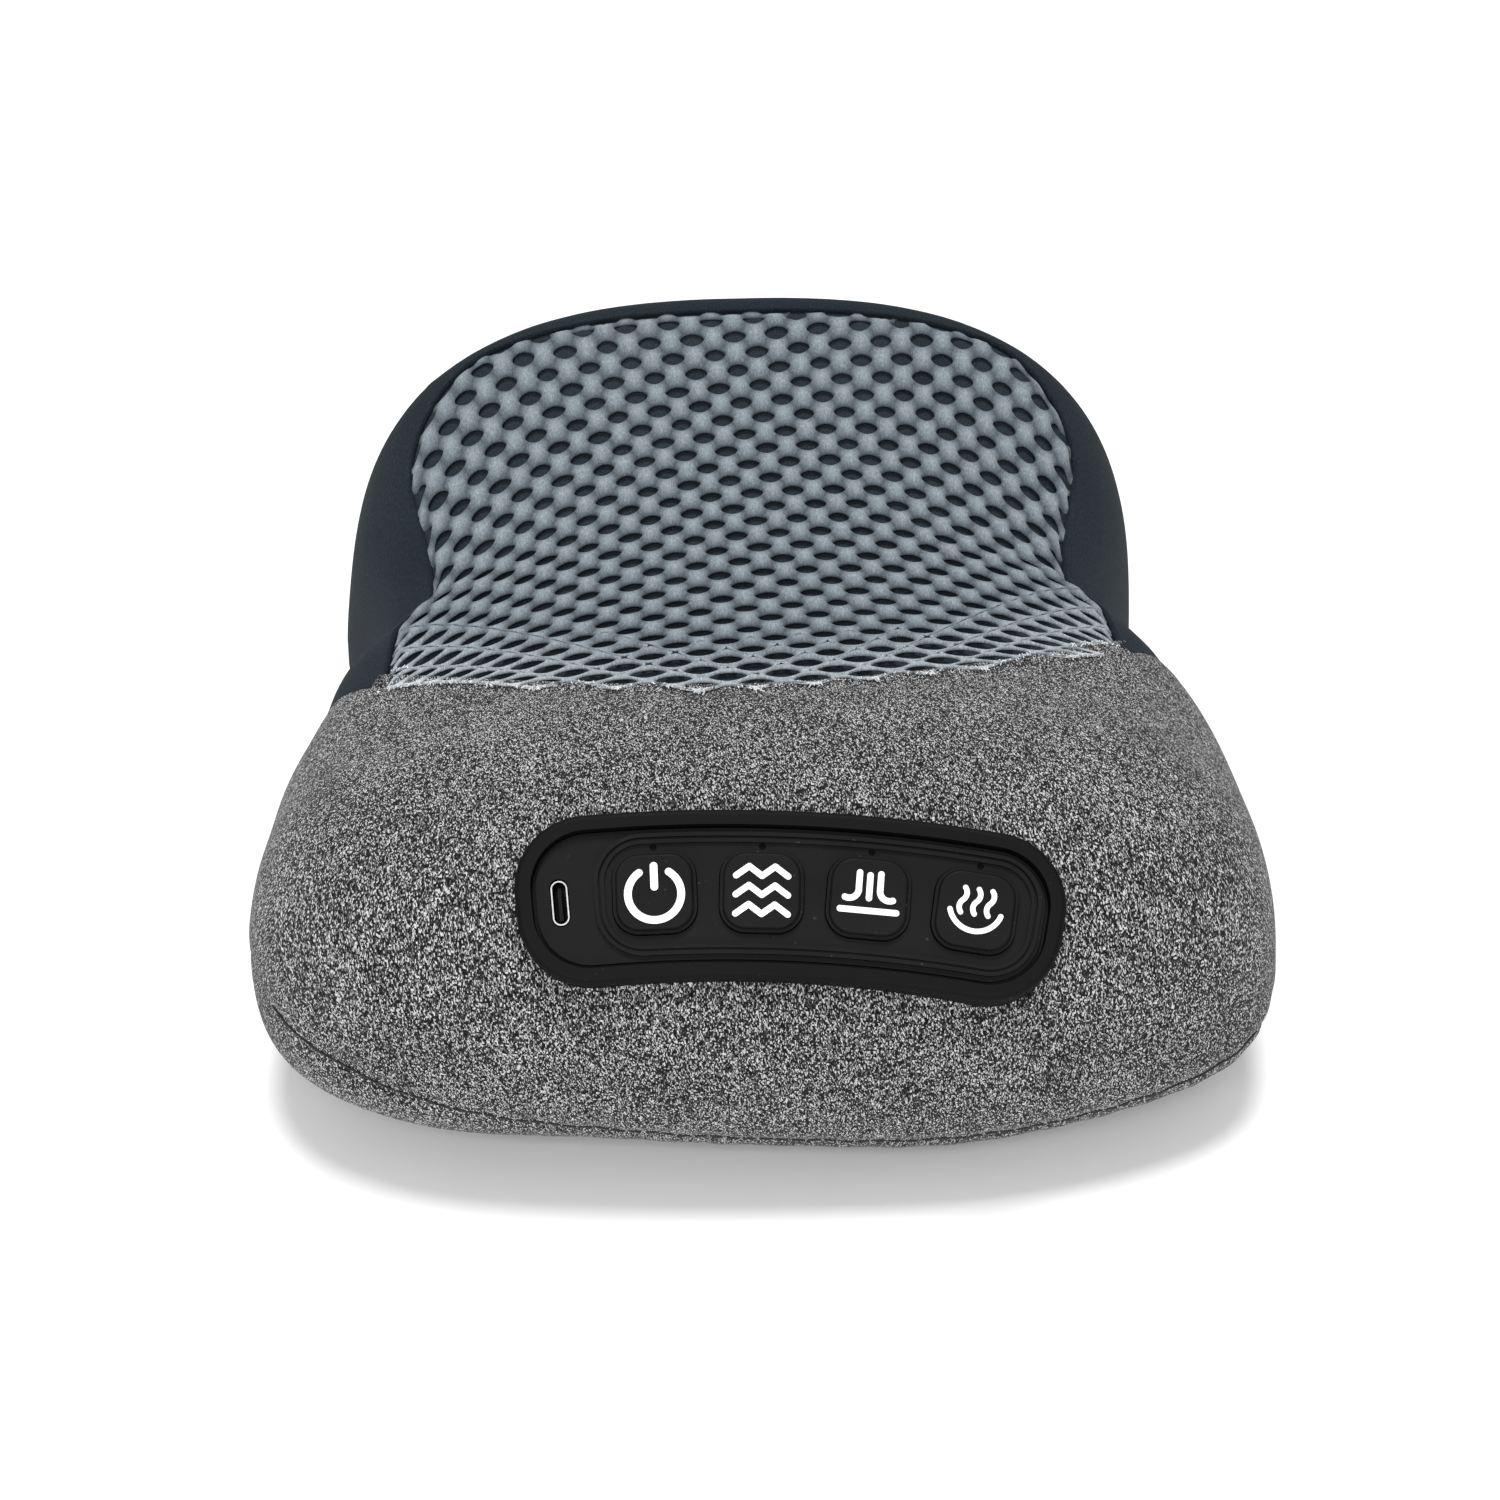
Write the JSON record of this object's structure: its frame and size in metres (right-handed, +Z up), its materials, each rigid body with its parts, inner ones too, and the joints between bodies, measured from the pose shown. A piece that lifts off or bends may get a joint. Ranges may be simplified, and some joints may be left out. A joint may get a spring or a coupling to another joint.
{
  "type": "shiatsu neck massager",
  "caption": "Saddle-shaped kneading massage pillow with a knit cover, a net over the sloping top, and a rubber control panel with icon buttons.",
  "frame": {"origin": "centre of the footprint on the surface the pillow lies on, at the bottom of its box", "axes": "+Z up out of the table, +X to the right and +Y to the rear for somebody facing the control panel, which looks along -Y and up"},
  "size_m": [0.2271, 0.2235, 0.1381],
  "materials": {
    "heather_knit": "grey heather knit, brushed and stretched over foam",
    "slate_fabric": "dark slate plain-knit polyester",
    "net": "light blue-grey stretched polyester net",
    "lining": "dark blue-black tricot lining",
    "film": "amber polyimide heating film",
    "foam": "dark grey open-cell polyurethane foam",
    "housing_plastic": "black moulded ABS",
    "panel_rubber": "black matt silicone rubber",
    "button_rubber": "black matt silicone rubber, slightly polished on top",
    "sign_white": "white inlaid silicone",
    "board": "green glass-epoxy circuit board",
    "switch_black": "black moulded switch bodies",
    "lamp": "smoked acrylic light guides",
    "inlet_steel": "stamped nickel-plated steel",
    "screw_steel": "zinc-plated steel",
    "gear_nylon": "natural acetal",
    "rotor_plastic": "glass-filled nylon, dark grey",
    "node_plastic": "translucent amber elastomer over a plastic core",
    "bush_bronze": "sintered bronze",
    "worm_steel": "turned steel",
    "motor_steel": "zinc-plated steel can",
    "cell_wrap": "blue shrink wrap over steel cans",
    "holder_plastic": "black moulded nylon",
    "lead_red": "red and black silicone-insulated wire"
  },
  "bodies": {
    "base": {"knit_cover": "heather_knit", "rear_cover": "slate_fabric", "bottom_panel": "slate_fabric", "mesh_net": "net", "mesh_lining": "lining", "heating_film": "film", "foam_front_lobe": "foam", "foam_rear_lobe": "foam", "foam_left_side": "foam", "foam_right_side": "foam", "base_shell": "housing_plastic", "top_shell": "housing_plastic", "housing_screws": "screw_steel", "panel_frame": "housing_plastic", "panel_bezel": "panel_rubber", "keypad_sheet": "panel_rubber", "panel_board": "board", "tact_switches": "switch_black", "status_lamps": "lamp", "usb_inlet": "inlet_steel", "panel_screws": "screw_steel", "gearbox_lower": "housing_plastic", "gearbox_upper": "housing_plastic", "gearbox_screws": "screw_steel", "shaft_bushes": "bush_bronze", "drive_motor": "motor_steel", "main_board": "board", "board_screws": "screw_steel", "battery_cells": "cell_wrap", "battery_holder": "holder_plastic", "vibration_motor": "motor_steel", "internal_leads": "lead_red"},
    "power_button": {"button_power": "button_rubber", "icon_power": "sign_white"},
    "wave_button": {"button_wave": "button_rubber", "icon_wave": "sign_white"},
    "knead_button": {"button_knead": "button_rubber", "icon_knead": "sign_white"},
    "heat_button": {"button_heat": "button_rubber", "icon_heat": "sign_white"},
    "left_rotor": {"rotor_left": "rotor_plastic", "worm_wheel_left": "gear_nylon", "node_screws_left": "screw_steel"},
    "left_large_node": {"node_large_left": "node_plastic"},
    "left_small_node": {"node_small_left": "node_plastic"},
    "right_rotor": {"rotor_right": "rotor_plastic", "worm_wheel_right": "gear_nylon", "node_screws_right": "screw_steel"},
    "right_large_node": {"node_large_right": "node_plastic"},
    "right_small_node": {"node_small_right": "node_plastic"},
    "worm": {"worm_shaft": "worm_steel"},
    "vibration_weight": {"vibration_weight": "worm_steel"}
  },
  "joints": [
    {"name": "power_press", "type": "slide", "parent": "base", "child": "power_button", "axis": [0, 0.7314, -0.682], "range_m": [0, 0.0008], "stiffness_N_per_m": 2500, "springref_m": -0.0004},
    {"name": "wave_press", "type": "slide", "parent": "base", "child": "wave_button", "axis": [0, 0.7314, -0.682], "range_m": [0, 0.0008], "stiffness_N_per_m": 2500, "springref_m": -0.0004},
    {"name": "knead_press", "type": "slide", "parent": "base", "child": "knead_button", "axis": [0, 0.7314, -0.682], "range_m": [0, 0.0008], "stiffness_N_per_m": 2500, "springref_m": -0.0004},
    {"name": "heat_press", "type": "slide", "parent": "base", "child": "heat_button", "axis": [0, 0.7314, -0.682], "range_m": [0, 0.0008], "stiffness_N_per_m": 2500, "springref_m": -0.0004},
    {"name": "left_rotor_turn", "type": "hinge", "parent": "base", "child": "left_rotor", "pos_m": [-0.036, 0.02536, 0.05913], "axis": [0, -0.342, 0.9397], "continuous": true},
    {"name": "left_large_node_spin", "type": "hinge", "parent": "left_rotor", "child": "left_large_node", "pos_m": [-0.05156, 0.0315, 0.07414], "axis": [0, -0.342, 0.9397], "continuous": true},
    {"name": "left_small_node_spin", "type": "hinge", "parent": "left_rotor", "child": "left_small_node", "pos_m": [-0.02044, 0.01102, 0.06668], "axis": [0, -0.342, 0.9397], "continuous": true},
    {"name": "right_rotor_turn", "type": "hinge", "parent": "base", "child": "right_rotor", "pos_m": [0.036, 0.02536, 0.05913], "axis": [0, -0.342, 0.9397], "continuous": true},
    {"name": "right_large_node_spin", "type": "hinge", "parent": "right_rotor", "child": "right_large_node", "pos_m": [0.05156, 0.0315, 0.07414], "axis": [0, -0.342, 0.9397], "continuous": true},
    {"name": "right_small_node_spin", "type": "hinge", "parent": "right_rotor", "child": "right_small_node", "pos_m": [0.02044, 0.01102, 0.06668], "axis": [0, -0.342, 0.9397], "continuous": true},
    {"name": "worm_spin", "type": "hinge", "parent": "base", "child": "worm", "pos_m": [0, 0.02879, 0.04974], "axis": [0, 0.9397, 0.342], "continuous": true},
    {"name": "vibration_spin", "type": "hinge", "parent": "base", "child": "vibration_weight", "pos_m": [-0.06, -0.03, 0.019], "axis": [1, 0, 0], "continuous": true}
  ],
  "couplings": [
    {"joint": "right_rotor_turn", "follows": "left_rotor_turn", "ratio": -1},
    {"joint": "worm_spin", "follows": "left_rotor_turn", "ratio": -46}
  ]
}
